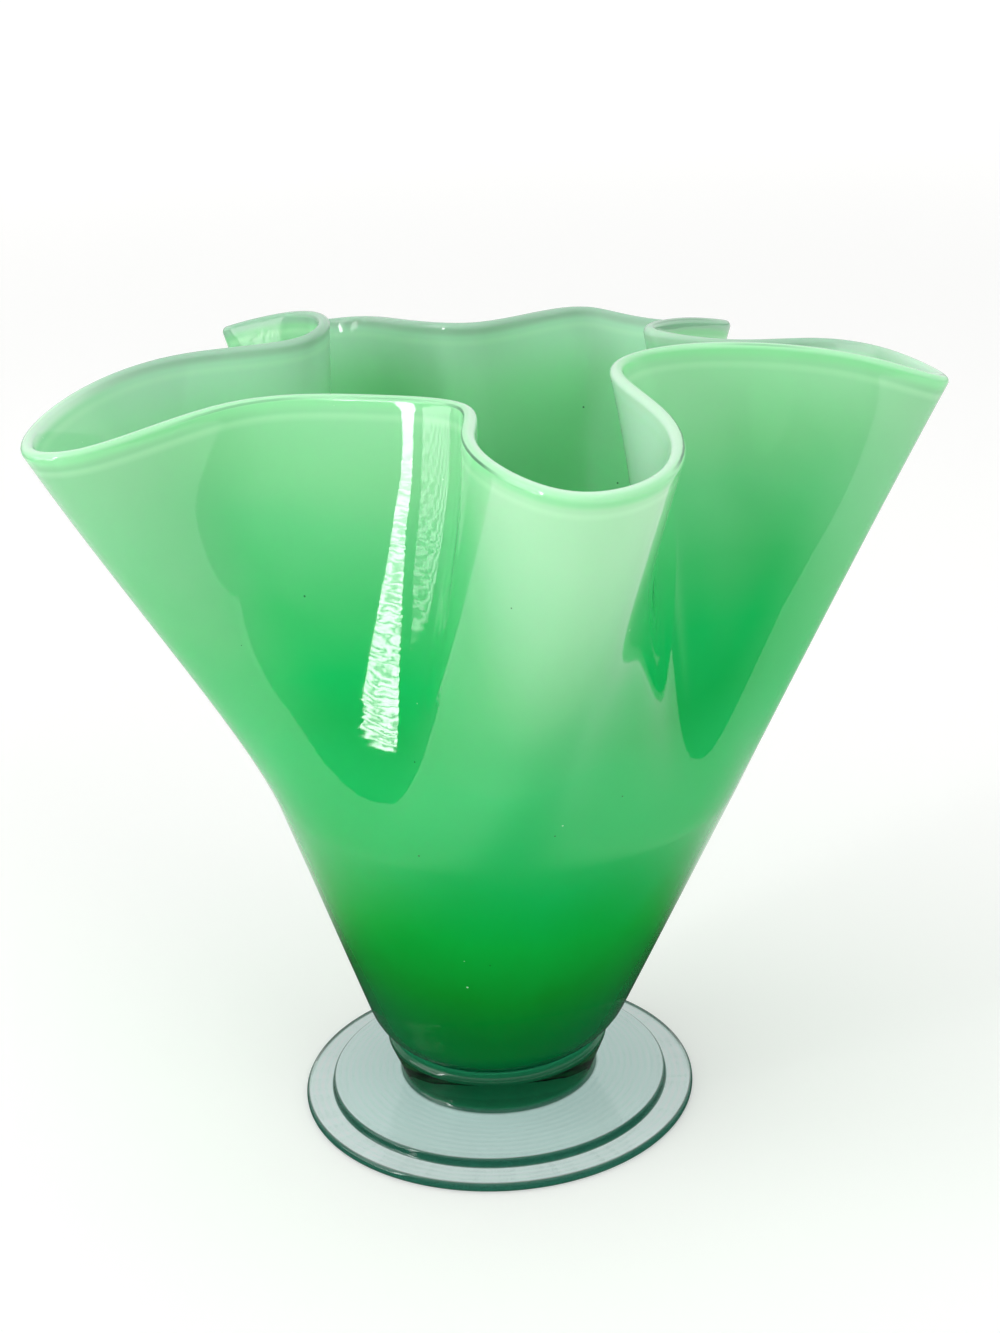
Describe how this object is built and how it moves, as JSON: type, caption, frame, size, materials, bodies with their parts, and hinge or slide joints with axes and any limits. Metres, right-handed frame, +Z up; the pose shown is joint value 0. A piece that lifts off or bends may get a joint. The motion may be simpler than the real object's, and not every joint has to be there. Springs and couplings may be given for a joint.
{
  "type": "handkerchief vase",
  "caption": "Footed handkerchief vase of cased glass: a round heel, a plain cone and a wall pinched into deep folds that end in a wavy open rim, on a clear stepped disc foot.",
  "frame": {"origin": "centre of the foot's flat underside, where the vase stands", "axes": "+Z up along the foot's axis, -Y towards the viewer of the picture, +X to the picture's right"},
  "size_m": [0.265, 0.2409, 0.2437],
  "materials": {
    "green_cased_glass": "glossy, green casing over opaque white",
    "clear_foot_glass": "clear, grey-teal, glossy"
  },
  "bodies": {
    "root": {"bowl": "green_cased_glass", "foot": "clear_foot_glass"}
  },
  "joints": []
}
